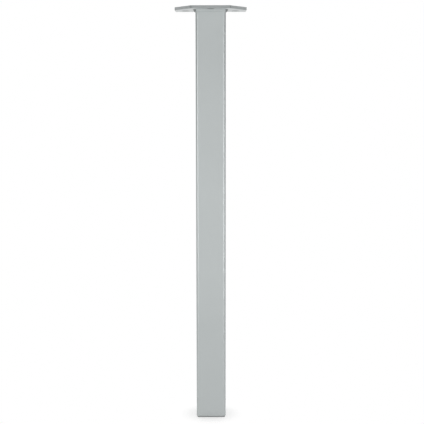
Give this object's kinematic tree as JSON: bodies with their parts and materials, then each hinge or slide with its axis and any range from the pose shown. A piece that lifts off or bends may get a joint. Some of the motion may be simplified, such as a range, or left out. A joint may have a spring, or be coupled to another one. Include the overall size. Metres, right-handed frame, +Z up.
{
  "type": "square metal table leg",
  "caption": "Straight square-tube table leg in silver-grey powder-coated steel, with a welded screw-on top plate and a thin square plastic foot.",
  "frame": {"origin": "on the floor, under the axis of the tube", "axes": "+Z up along the tube, -Y towards the front edge of the plate, +X to the right seen from the front"},
  "size_m": [0.12, 0.12, 0.7],
  "materials": {
    "powder_coat": "satin silver-grey powder coat with a fine even texture",
    "glide_plastic": "matt moulded polyethylene, mid grey"
  },
  "bodies": {
    "root": {"leg_tube": "powder_coat", "mounting_plate": "powder_coat", "weld_bead": "powder_coat", "foot_plug": "glide_plastic"}
  },
  "joints": []
}
